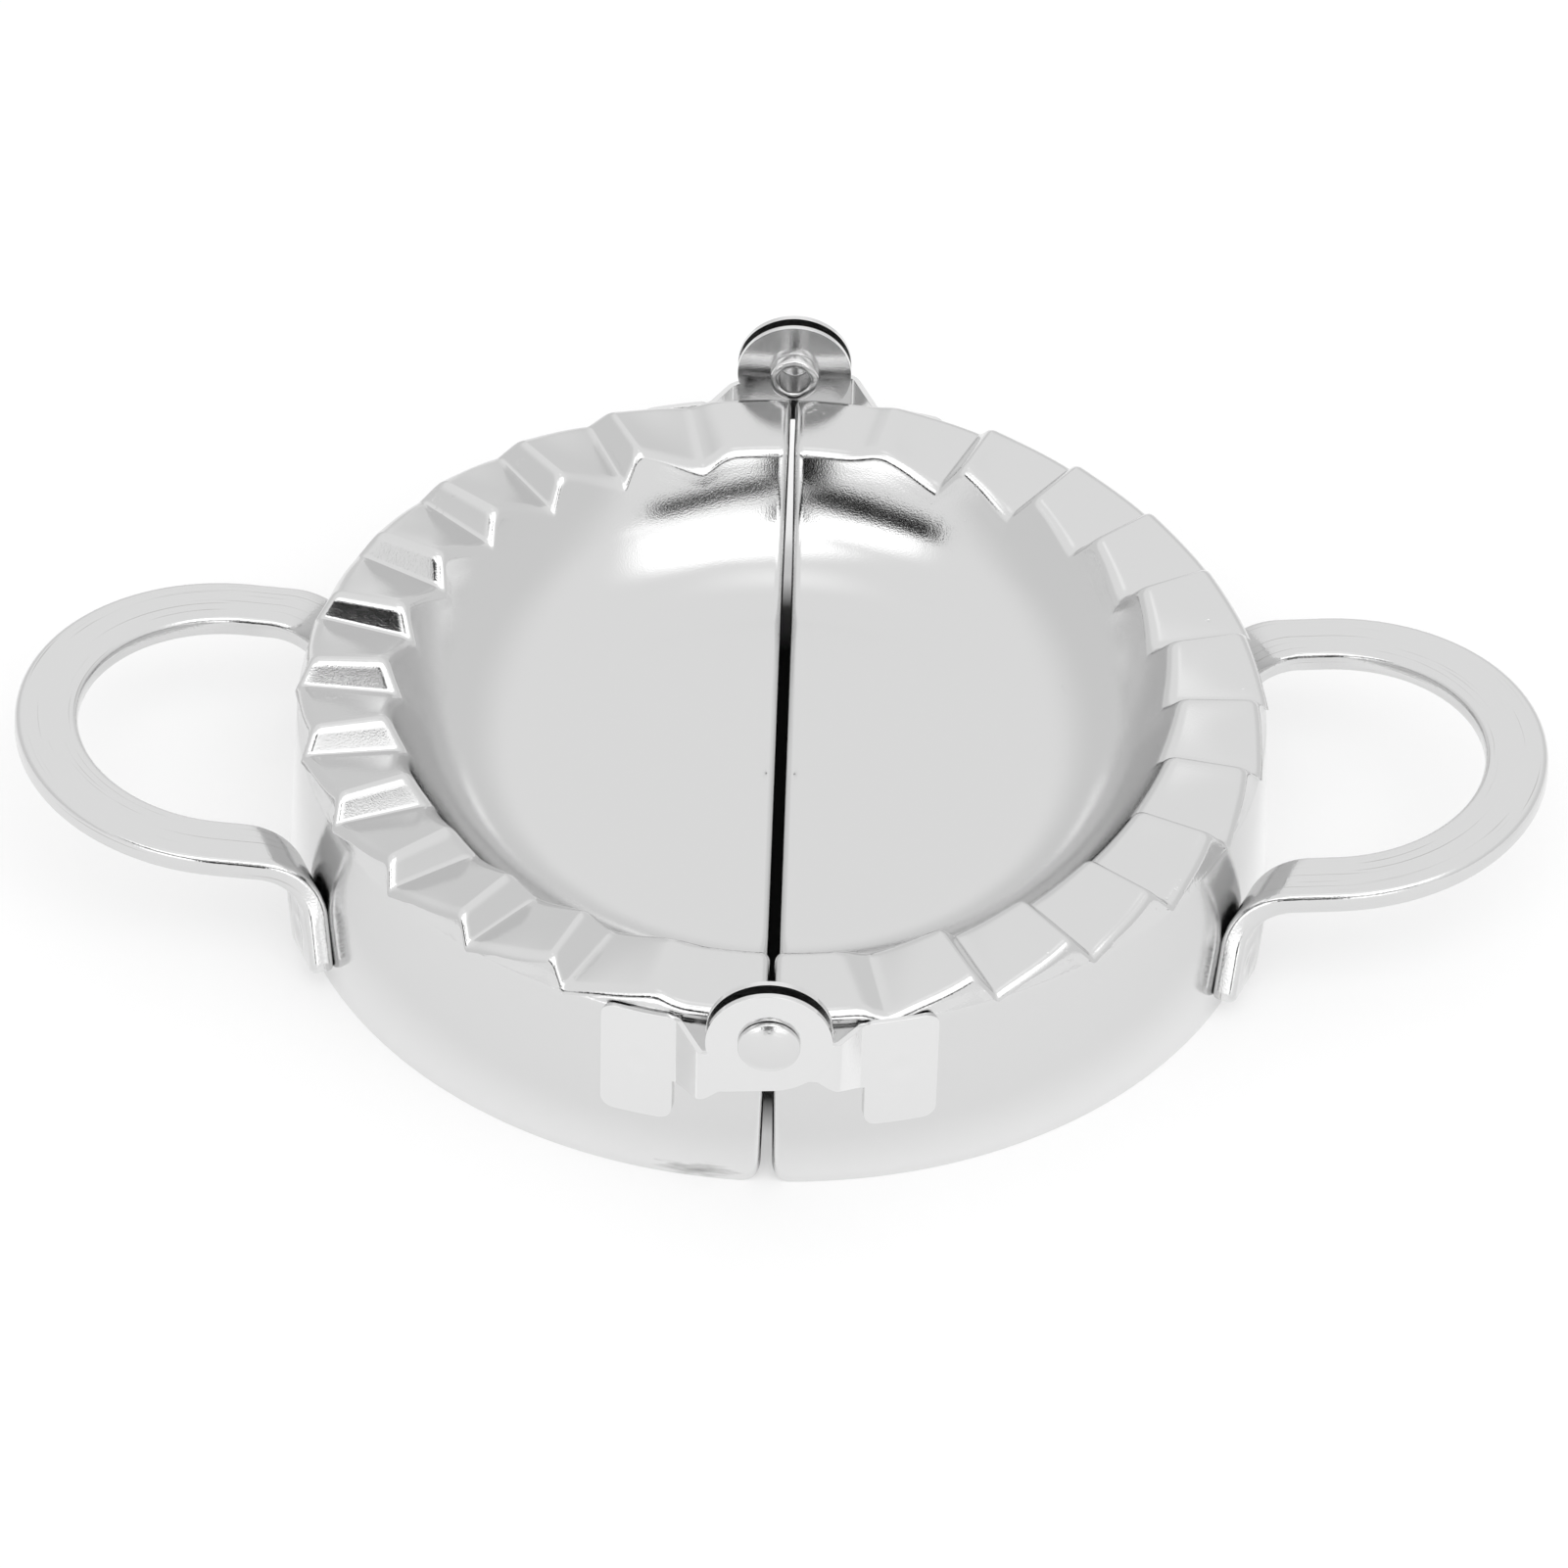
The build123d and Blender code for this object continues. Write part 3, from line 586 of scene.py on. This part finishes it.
def rivet_points():
    """Points and faces of the rear rivet: a profile, radius + y * 1j, turned about the hinge line. The
    rolled lip swells and shrinks by a few hundredths of a millimetre round the axis."""
    dome_radius = (HEAD_RADIUS ** 2 + (HEAD_TOP - HEAD_SHOULDER) ** 2) / 2 / (HEAD_TOP - HEAD_SHOULDER)
    rise = np.linspace(0, np.arcsin(HEAD_RADIUS / dome_radius), 14)
    dome = dome_radius * np.sin(rise) + 1j * (HEAD_TOP - dome_radius * (1 - np.cos(rise)))
    corners = np.array((      # radius, y and rounding
        (HEAD_RADIUS, HEAD_BASE, 0.12), (SHANK_RADIUS, HEAD_BASE, 0), (SHANK_RADIUS, INNER_EAR, 0),
        (TAIL_RADIUS, INNER_EAR, 0.25), (TAIL_RADIUS, TAIL_END, 0.42), (BORE_RADIUS, TAIL_END, 0.42),
        (BORE_RADIUS, BORE_FLOOR, 0.2), (0.02, BORE_FLOOR, 0)))
    head_edge = 0.3
    profile = round_corner(np.concatenate((dome, corners[:, 0] + 1j * corners[:, 1])),
                           [0] * (len(dome) - 2) + [head_edge] + list(corners[:-1, 2]))
    turns = np.radians(np.arange(0, 360, 5))
    radius = np.repeat(profile.real[:, None], len(turns), 1)
    depth = np.repeat(profile.imag[:, None], len(turns), 1)
    tail = np.clip((INNER_EAR - depth) / 0.6, 0, 1)
    wave = 0.035 * np.sin(3 * turns + 0.6) + 0.025 * np.sin(5 * turns + 2.1) + 0.015 * np.sin(9 * turns)
    radius = radius + tail * wave
    lip = radius > 1.2
    depth = depth + tail * 0.05 * np.sin(4 * turns + 1.3) * lip
    grid = np.stack((radius * np.cos(turns), depth, HINGE_HEIGHT + radius * np.sin(turns)), -1)
    index, faces = lattice(grid, closed=True)
    return grid.reshape(-1, 3), faces + [index[-1].tolist()]


def die_rings(tree):
    """Height of faint rings about the hinge line: the sine of the distance from it."""
    axis = (0, 0, HINGE_HEIGHT * 0.001)
    place = add(tree, "ShaderNodeTexCoord").outputs["Object"]
    apart = add(tree, "ShaderNodeVectorMath", {0: place, 1: axis}, operation="SUBTRACT")
    apart = add(tree, "ShaderNodeVectorMath", {0: apart.outputs[0], 1: (1, 0, 1)}, operation="MULTIPLY")
    apart = add(tree, "ShaderNodeVectorMath", {0: apart.outputs[0]}, operation="LENGTH").outputs["Value"]
    phase = add(tree, "ShaderNodeMath", {0: apart, 1: 2 * np.pi / (DIE_RINGS * 0.001)}, operation="MULTIPLY")
    return add(tree, "ShaderNodeMath", {0: phase.outputs[0]}, operation="SINE").outputs[0]


# Headed wire with faint rings from the heading die and the roll: the light breaks into thin circles.
headed_wire = steel("cold_headed_steel_wire", "DADADA", 0.2, 0.25, 0.05, 0.0)
marks(headed_wire, die_rings(headed_wire.node_tree), 0.0015)
rivet_grid, rivet_faces = rivet_points()
for name, flip, body in (("back_rivet", (1, 1, 1), "left_half"), ("front_rivet", (-1, -1, 1), "right_half")):
    rivet = solid(name, rivet_grid * flip, rivet_faces, smooth_below=50)
    rivet.data.materials.append(headed_wire)
    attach(rivet, body)
    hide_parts(name)

# ======================================================================== finger loops
# Each is one flat bar, 6 by 2.3 mm with rolled edges, bent to a U in plan. Its ends are turned down along
# the round skirt and projection-welded to it, which leaves a shallow dent in the outer face.
BAR_WIDTH = 6.1
BAR_THICKNESS = 2.3
BAR_EDGE = 0.65
BAR_MIDDLE = 12.05            # height of the level bar's middle
LOOP_RADIUS = 18.2
LOOP_RISE = 4.8               # tilt of the loop
LOOP_CENTRE = 54.3
ARM_BEND = 4.8                # radius of the knee
END_HEIGHT = 2.4
END_ROUNDING = (1.0, 0.35)    # of the cut end, across the bar and through it
WELD_BITE = 0.08


def bar_outline():
    """Section of the bar as rows of (across, up), anticlockwise, closer together on the welded face."""
    quarter = np.radians(np.linspace(0, 90, 6))
    half, thick = BAR_WIDTH / 2 - BAR_EDGE, BAR_THICKNESS / 2 - BAR_EDGE
    centres = np.array(((half, thick), (-half, thick), (-half, -thick), (half, -thick)))
    corners = []
    for number, centre in enumerate(centres):
        angle = quarter + number * np.pi / 2
        corners.append(centre + BAR_EDGE * np.column_stack((np.cos(angle), np.sin(angle))))
    rows = []
    for corner, following, between in zip(corners, corners[1:] + corners[:1], (4, 1, 12, 1)):
        rows += [corner, np.linspace(corner[-1], following[0], between + 2)[1:-1]]
    return np.concatenate(rows)


def right_loop():
    """Points, faces and bar coordinates of the right loop. The section slides from the rear end up to the
    knee, turns over the bend while it drifts sideways, runs along the arm and round the half circle, and
    mirrors itself for the front arm; the level loop is then tilted about its knees."""
    turn, flare = np.radians(90 + SKIRT_FLARE - LOOP_RISE), np.radians(SKIRT_FLARE)
    knee_z = BAR_MIDDLE - ARM_BEND * (1 - np.cos(turn))
    knee_radius = FOOT_RADIUS - knee_z * np.tan(flare) + (BAR_THICKNESS / 2 - WELD_BITE) / np.cos(flare)
    end_length = (knee_z - END_HEIGHT) / np.cos(flare)
    bearing = np.arcsin(LOOP_RADIUS / (knee_radius - ARM_BEND * (turn - np.sin(turn)) - end_length / 2))
    outward = np.array((np.cos(bearing), np.sin(bearing), 0))
    sideways = np.array((-np.sin(bearing), np.cos(bearing), 0))
    up = np.array((0.0, 0, 1))
    drift = np.tan(bearing)
    knee = outward * knee_radius - sideways * drift * end_length / 2 + up * knee_z
    section = bar_outline()
    across, high = section.T[..., None]

    def drawn_in(radius, distance):
        """How far a rounded end has drawn in at a distance from the cut."""
        return radius - np.sqrt(radius ** 2 - max(radius - distance, 0) ** 2)

    # The end, from its rounded cut up to the knee, with the weld's dent and its raised ring.
    along = -outward * np.cos(turn) - up * np.sin(turn) + sideways * drift
    normal = -outward * np.sin(turn) + up * np.cos(turn)
    outer_face = np.clip(-high / (BAR_THICKNESS / 2), 0, 1) ** 4
    from_cut = np.concatenate(((0, 0.04, 0.12, 0.25, 0.42, 0.65, 0.95), np.linspace(1.3, end_length, 16)))
    rows = []
    for distance in from_cut:
        wide = across * (1 - drawn_in(END_ROUNDING[0], distance) / (BAR_WIDTH / 2)) / np.cos(bearing)
        thick = high * (1 - drawn_in(END_ROUNDING[1], distance) / (BAR_THICKNESS / 2))
        from_weld = np.hypot(wide, distance - end_length * 0.5)
        dent = 0.13 * np.exp(-(from_weld / 0.8) ** 2) - 0.05 * np.exp(-((from_weld - 1.5) / 0.4) ** 2)
        thick = thick + outer_face * dent
        rows.append(knee + along * (end_length - distance) + sideways * wide + normal * thick)
    # The bend, the arm and half of the half circle.
    slant = sideways * across / np.cos(bearing)
    bend_start = knee + outward * ARM_BEND * np.sin(turn) + up * (BAR_MIDDLE - knee_z)
    bend_start = bend_start - sideways * drift * ARM_BEND * turn
    for phi in np.linspace(turn, 0, 17)[1:]:
        normal = -outward * np.sin(phi) + up * np.cos(phi)
        centre = bend_start - up * ARM_BEND + sideways * drift * ARM_BEND * phi
        rows.append(centre + slant + normal * (ARM_BEND + high))
    arm_end = np.column_stack((np.full(len(section), LOOP_CENTRE), LOOP_RADIUS + across, BAR_MIDDLE + high))
    for share in (0.33, 0.66, 1.0):
        rows.append((bend_start + slant + up * high) * (1 - share) + arm_end * share)
    reach = LOOP_RADIUS + across
    for angle in np.radians(np.linspace(90, 0, 31))[1:]:
        x, y = LOOP_CENTRE + reach * np.cos(angle), reach * np.sin(angle)
        rows.append(np.column_stack((x, y, BAR_MIDDLE + high)))
    rows = np.array(rows)
    rows = np.concatenate((rows, rows[-2::-1] * (1, -1, 1)))

    rise = np.radians(LOOP_RISE)
    x, z = rows[..., 0] - knee[0], rows[..., 2] - knee[2]
    tilted = np.stack((knee[0] + x * np.cos(rise) - z * np.sin(rise), rows[..., 1],
                       knee[2] + x * np.sin(rise) + z * np.cos(rise)), -1)
    steps = np.linalg.norm(np.diff(tilted.mean(1), axis=0), axis=1)
    travel = np.concatenate(((0,), np.cumsum(steps)))
    bar = np.stack(np.broadcast_arrays(travel[:, None], across[:, 0], high[:, 0]), -1)
    index, faces = lattice(tilted, closed=True)
    return tilted.reshape(-1, 3), faces + [index[0].tolist(), index[-1].tolist()], bar.reshape(-1, 3)


# Polished flat bar: fine lengthwise scratches from belt grinding, about 17 mm long and 0.2 mm apart, which
# smear what it mirrors crosswise. The deepest are darker.
ground_bar = steel("belt_ground_stainless_bar", "D9D9D9", 0.12, 0.22, 0.06, 0.0025)
tree = ground_bar.node_tree
lay = add(tree, "ShaderNodeAttribute", attribute_name="place").outputs["Vector"]
lay = add(tree, "ShaderNodeVectorMath", {0: lay, 1: (0.06, 5.0, 5.0)}, operation="MULTIPLY").outputs[0]
scratch = add(tree, "ShaderNodeTexNoise", {"Vector": lay, "Scale": 1.0, "Detail": 3.0}).outputs["Fac"]
deepest = add(tree, "ShaderNodeMapRange", {"Value": scratch, "From Min": 0.64, "From Max": 0.72})
marks(ground_bar, scratch, 0.004)
marks(ground_bar, deepest.outputs["Result"], 0.004, darken="BDBCBB")
loop_points, loop_faces, bar_place = right_loop()
for name, flip, body in (("left_handle", (-1, -1, 1), "left_half"),
                         ("right_handle", (1, 1, 1), "right_half")):
    loop = solid(name, loop_points * flip, loop_faces, smooth_below=50, place=bar_place)
    loop.data.materials.append(ground_bar)
    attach(loop, body)
    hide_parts(name)

# ======================================================================== stage
# A white table in a light tent. Boards and a softbox with faded edges stand where the metal mirrors
# them. Under the open press the paper is painted dark, a painted shadow, and takes no glow of its own, so
# that the seam looks into the dark. When the press is closed, half of that painted shadow lies bare.
scene = bpy.context.scene
WHITE = (1, 1, 1, 1)
FLOOR_HALF_SIDE = 3.0
FLOOR_GLOW = 0.5              # share of plain white in what the floor shows
GLOW_START, GLOW_FULL = 0.045, 0.050          # distances from the middle between which that comes in
GLOW_SEEN_CLOSER = 0.008      # by this much nearer the middle for the camera, at the foot of the seam
SHADE_FULL, SHADE_END = 0.030, 0.046          # distances between which the painted shadow on the paper passes from dark to white
PAINTED_SHADOW_DARK, PAPER_WHITE = 0.04, 0.955         # linear: the painted shadow under the press, and the white paper
HALO = 0.35                   # extra glow round the foot that only the skirt mirrors
HALO_FULL, HALO_END = 0.049, 0.056


def flat(name, half_x, half_y, finish_name):
    """A flat rectangle about the origin, and the empty node tree of its material."""
    mesh = bpy.data.meshes.new(name)
    mesh.from_pydata([(-half_x, -half_y, 0), (half_x, -half_y, 0), (half_x, half_y, 0), (-half_x, half_y, 0)],
                     [], [(0, 1, 2, 3)])
    finish = bpy.data.materials.new(finish_name)
    finish.use_nodes = True
    finish.node_tree.nodes.clear()
    mesh.materials.append(finish)
    piece = bpy.data.objects.new(name, mesh)
    scene.collection.objects.link(piece)
    return piece, finish.node_tree


def seen_directly(tree):
    """1 where a camera, glossy or transmission ray arrives, else 0."""
    rays = add(tree, "ShaderNodeLightPath").outputs
    seen = rays["Is Camera Ray"]
    for ray in ("Is Glossy Ray", "Is Transmission Ray"):
        seen = add(tree, "ShaderNodeMath", {0: seen, 1: rays[ray]}, operation="MAXIMUM").outputs[0]
    return seen


floor, tree = flat("floor", FLOOR_HALF_SIDE, FLOOR_HALF_SIDE, "paper_with_painted_shadow")
place = add(tree, "ShaderNodeTexCoord").outputs["Object"]
from_middle = add(tree, "ShaderNodeVectorMath", {0: place}, operation="LENGTH").outputs["Value"]
rays = add(tree, "ShaderNodeLightPath").outputs
reach = add(tree, "ShaderNodeMath", {0: rays["Is Camera Ray"], 1: GLOW_SEEN_CLOSER, 2: from_middle},
            operation="MULTIPLY_ADD")
glow = add(tree, "ShaderNodeMapRange", {"Value": reach.outputs[0], "To Min": 0.0, "To Max": FLOOR_GLOW,
                                        "From Min": GLOW_START, "From Max": GLOW_FULL})
share = add(tree, "ShaderNodeMath", {0: seen_directly(tree), 1: glow.outputs["Result"]}, operation="MULTIPLY")
halo = add(tree, "ShaderNodeMapRange", {"Value": from_middle, "From Min": HALO_FULL, "From Max": HALO_END,
                                        "To Min": HALO, "To Max": 0.0})
strength = add(tree, "ShaderNodeMath", {0: halo.outputs["Result"], 1: rays["Is Glossy Ray"], 2: 1.0},
               operation="MULTIPLY_ADD")
# Painted shadow: the paper's colour turns dark near the middle, under the press, under any light.
shade = add(tree, "ShaderNodeMapRange", {"Value": from_middle, "From Min": SHADE_FULL, "From Max": SHADE_END,
                                         "To Min": PAINTED_SHADOW_DARK, "To Max": PAPER_WHITE})
paper = add(tree, "ShaderNodeBsdfDiffuse", {"Color": shade.outputs["Result"]})
white = add(tree, "ShaderNodeEmission", {"Color": WHITE, "Strength": strength.outputs[0]})
mixed = add(tree, "ShaderNodeMixShader", {"Fac": share.outputs[0], 1: paper.outputs[0], 2: white.outputs[0]})
add(tree, "ShaderNodeOutputMaterial", {"Surface": mixed.outputs[0]})


def facing(azimuth, elevation, distance):
    """Matrix of a lamp or board at that bearing from the front and height angle, turned to the object."""
    a, e = np.radians(azimuth), np.radians(elevation)
    way = Vector((np.sin(a) * np.cos(e), -np.cos(a) * np.cos(e), np.sin(e)))
    return Matrix.Translation(way * distance) @ way.to_track_quat("Z", "Y").to_matrix().to_4x4()


def board(name, azimuth, elevation, width, height, tone, fade=2.0, distance=1.2, roll=0.0):
    """A plain board that only the metal mirrors. Its size and the fade of its edges into the tent's
    white are angles seen from the object: half size = distance x tan(angle / 2)."""
    half = distance * np.tan(np.radians(np.array((width, height)) / 2))
    soft = distance * np.radians(fade)
    piece, tree = flat(name, *half, name)
    piece.matrix_world = facing(azimuth, elevation, distance) @ Matrix.Rotation(np.radians(roll), 4, "Z")
    apart = add(tree, "ShaderNodeSeparateXYZ", {0: add(tree, "ShaderNodeTexCoord").outputs["Object"]}).outputs
    inside = []
    for axis, reach in zip("XY", half):
        size = add(tree, "ShaderNodeMath", {0: apart[axis]}, operation="ABSOLUTE").outputs[0]
        fall = {"Value": size, "From Min": reach - soft, "From Max": reach, "To Min": 1.0, "To Max": 0.0}
        fall = add(tree, "ShaderNodeMapRange", fall, interpolation_type="SMOOTHSTEP")
        inside.append(fall.outputs["Result"])
    cover = add(tree, "ShaderNodeMath", {0: inside[0], 1: inside[1]}, operation="MULTIPLY").outputs[0]
    glow = add(tree, "ShaderNodeMapRange", {"Value": cover, "To Min": 1.0, "To Max": tone}).outputs["Result"]
    light = add(tree, "ShaderNodeEmission", {"Color": WHITE, "Strength": glow})
    add(tree, "ShaderNodeOutputMaterial", {"Surface": light.outputs[0]})
    piece.visible_camera = piece.visible_diffuse = piece.visible_shadow = piece.visible_transmission = False


# Bright: soft boxes in front and overhead, and the lit edge of the table. Their order is bearing, height
# angle, width, height and tone, where the tent is 1.
board("softbox_front", 22, 57, 60, 53, 2.0, fade=20, distance=1.3)
board("softbox_left", -21, 49, 48, 30, 1.9, fade=14, distance=1.35)
board("softbox_foot", 34, 36, 36, 9, 1.5, fade=3, distance=1.25, roll=6)
board("top_light", 180, 85, 28, 28, 1.2, fade=14, distance=1.2)
board("bright_table_edge", -3, 9, 72, 28, 1.75, fade=5, distance=1.28)
# Dark: the tent's opening for the camera to each side of it, the tripod and the lens.
board("camera_gap", -26, 33.7, 39.6, 11.5, 0.0, fade=1.6, roll=-6)
board("camera_gap_right", 21.5, 30.0, 38, 8.0, 0.0, fade=1.6, roll=7)
board("tripod", -2.5, 15, 20, 30, 0.0, fade=4)
board("lens", 0.34, 42, 10, 13, 0.0, fade=2.5, distance=0.75)
# Grey: the tent's walls.
board("left_board", -115, 15, 130, 70, 0.82, fade=30, distance=1.6)
board("right_board", 115, 15, 130, 70, 0.84, fade=30, distance=1.6)

LAMP_RADIANCE = 1.2
lamp = bpy.data.lights.new("softbox", "AREA")
lamp.shape = "RECTANGLE"
lamp.size, lamp.size_y = 1.3, 0.75
lamp.energy = LAMP_RADIANCE * np.pi * lamp.size * lamp.size_y
softbox = bpy.data.objects.new("softbox", lamp)
softbox.matrix_world = facing(16, 57, 1.0)
softbox.visible_glossy = False
scene.collection.objects.link(softbox)

TENT_LIGHT = 0.9              # on the object; the tent itself looks and mirrors plain white
world = bpy.data.worlds.new("tent")
world.use_nodes = True
scene.world = world
tree = world.node_tree
tree.nodes.clear()
level = add(tree, "ShaderNodeMapRange", {"Value": seen_directly(tree), "To Min": TENT_LIGHT, "To Max": 1.0})
sky = add(tree, "ShaderNodeBackground", {"Color": WHITE, "Strength": level.outputs["Result"]})
add(tree, "ShaderNodeOutputWorld", {"Surface": sky.outputs[0]})

# ======================================================================== camera
# A long lens in front of the press and above it, turned slightly about its own line of sight.
IMAGE_SIDE = 1601
FOCAL_PIXELS = 6811.6
DISTANCE = 0.65504
ELEVATION, BEARING, ROLL = np.radians((40.57, 0.34, 1.60))
TARGET = Vector((0.00041, -0.00211, 0.00947))
back = Vector((np.sin(BEARING) * np.cos(ELEVATION), -np.cos(BEARING) * np.cos(ELEVATION), np.sin(ELEVATION)))
right = Vector((np.cos(BEARING), np.sin(BEARING), 0))
up = back.cross(right)
right, up = right * np.cos(ROLL) + up * np.sin(ROLL), up * np.cos(ROLL) - right * np.sin(ROLL)
turned = Matrix((right, up, back)).transposed().to_4x4()
view = bpy.data.cameras.new("camera")
view.sensor_width = 36.0
view.lens = FOCAL_PIXELS * view.sensor_width / IMAGE_SIDE
view.clip_start = 0.01
camera = bpy.data.objects.new("camera", view)
camera.matrix_world = Matrix.Translation(TARGET + back * DISTANCE) @ turned
scene.collection.objects.link(camera)
scene.camera = camera
scene.view_settings.view_transform = "Standard"
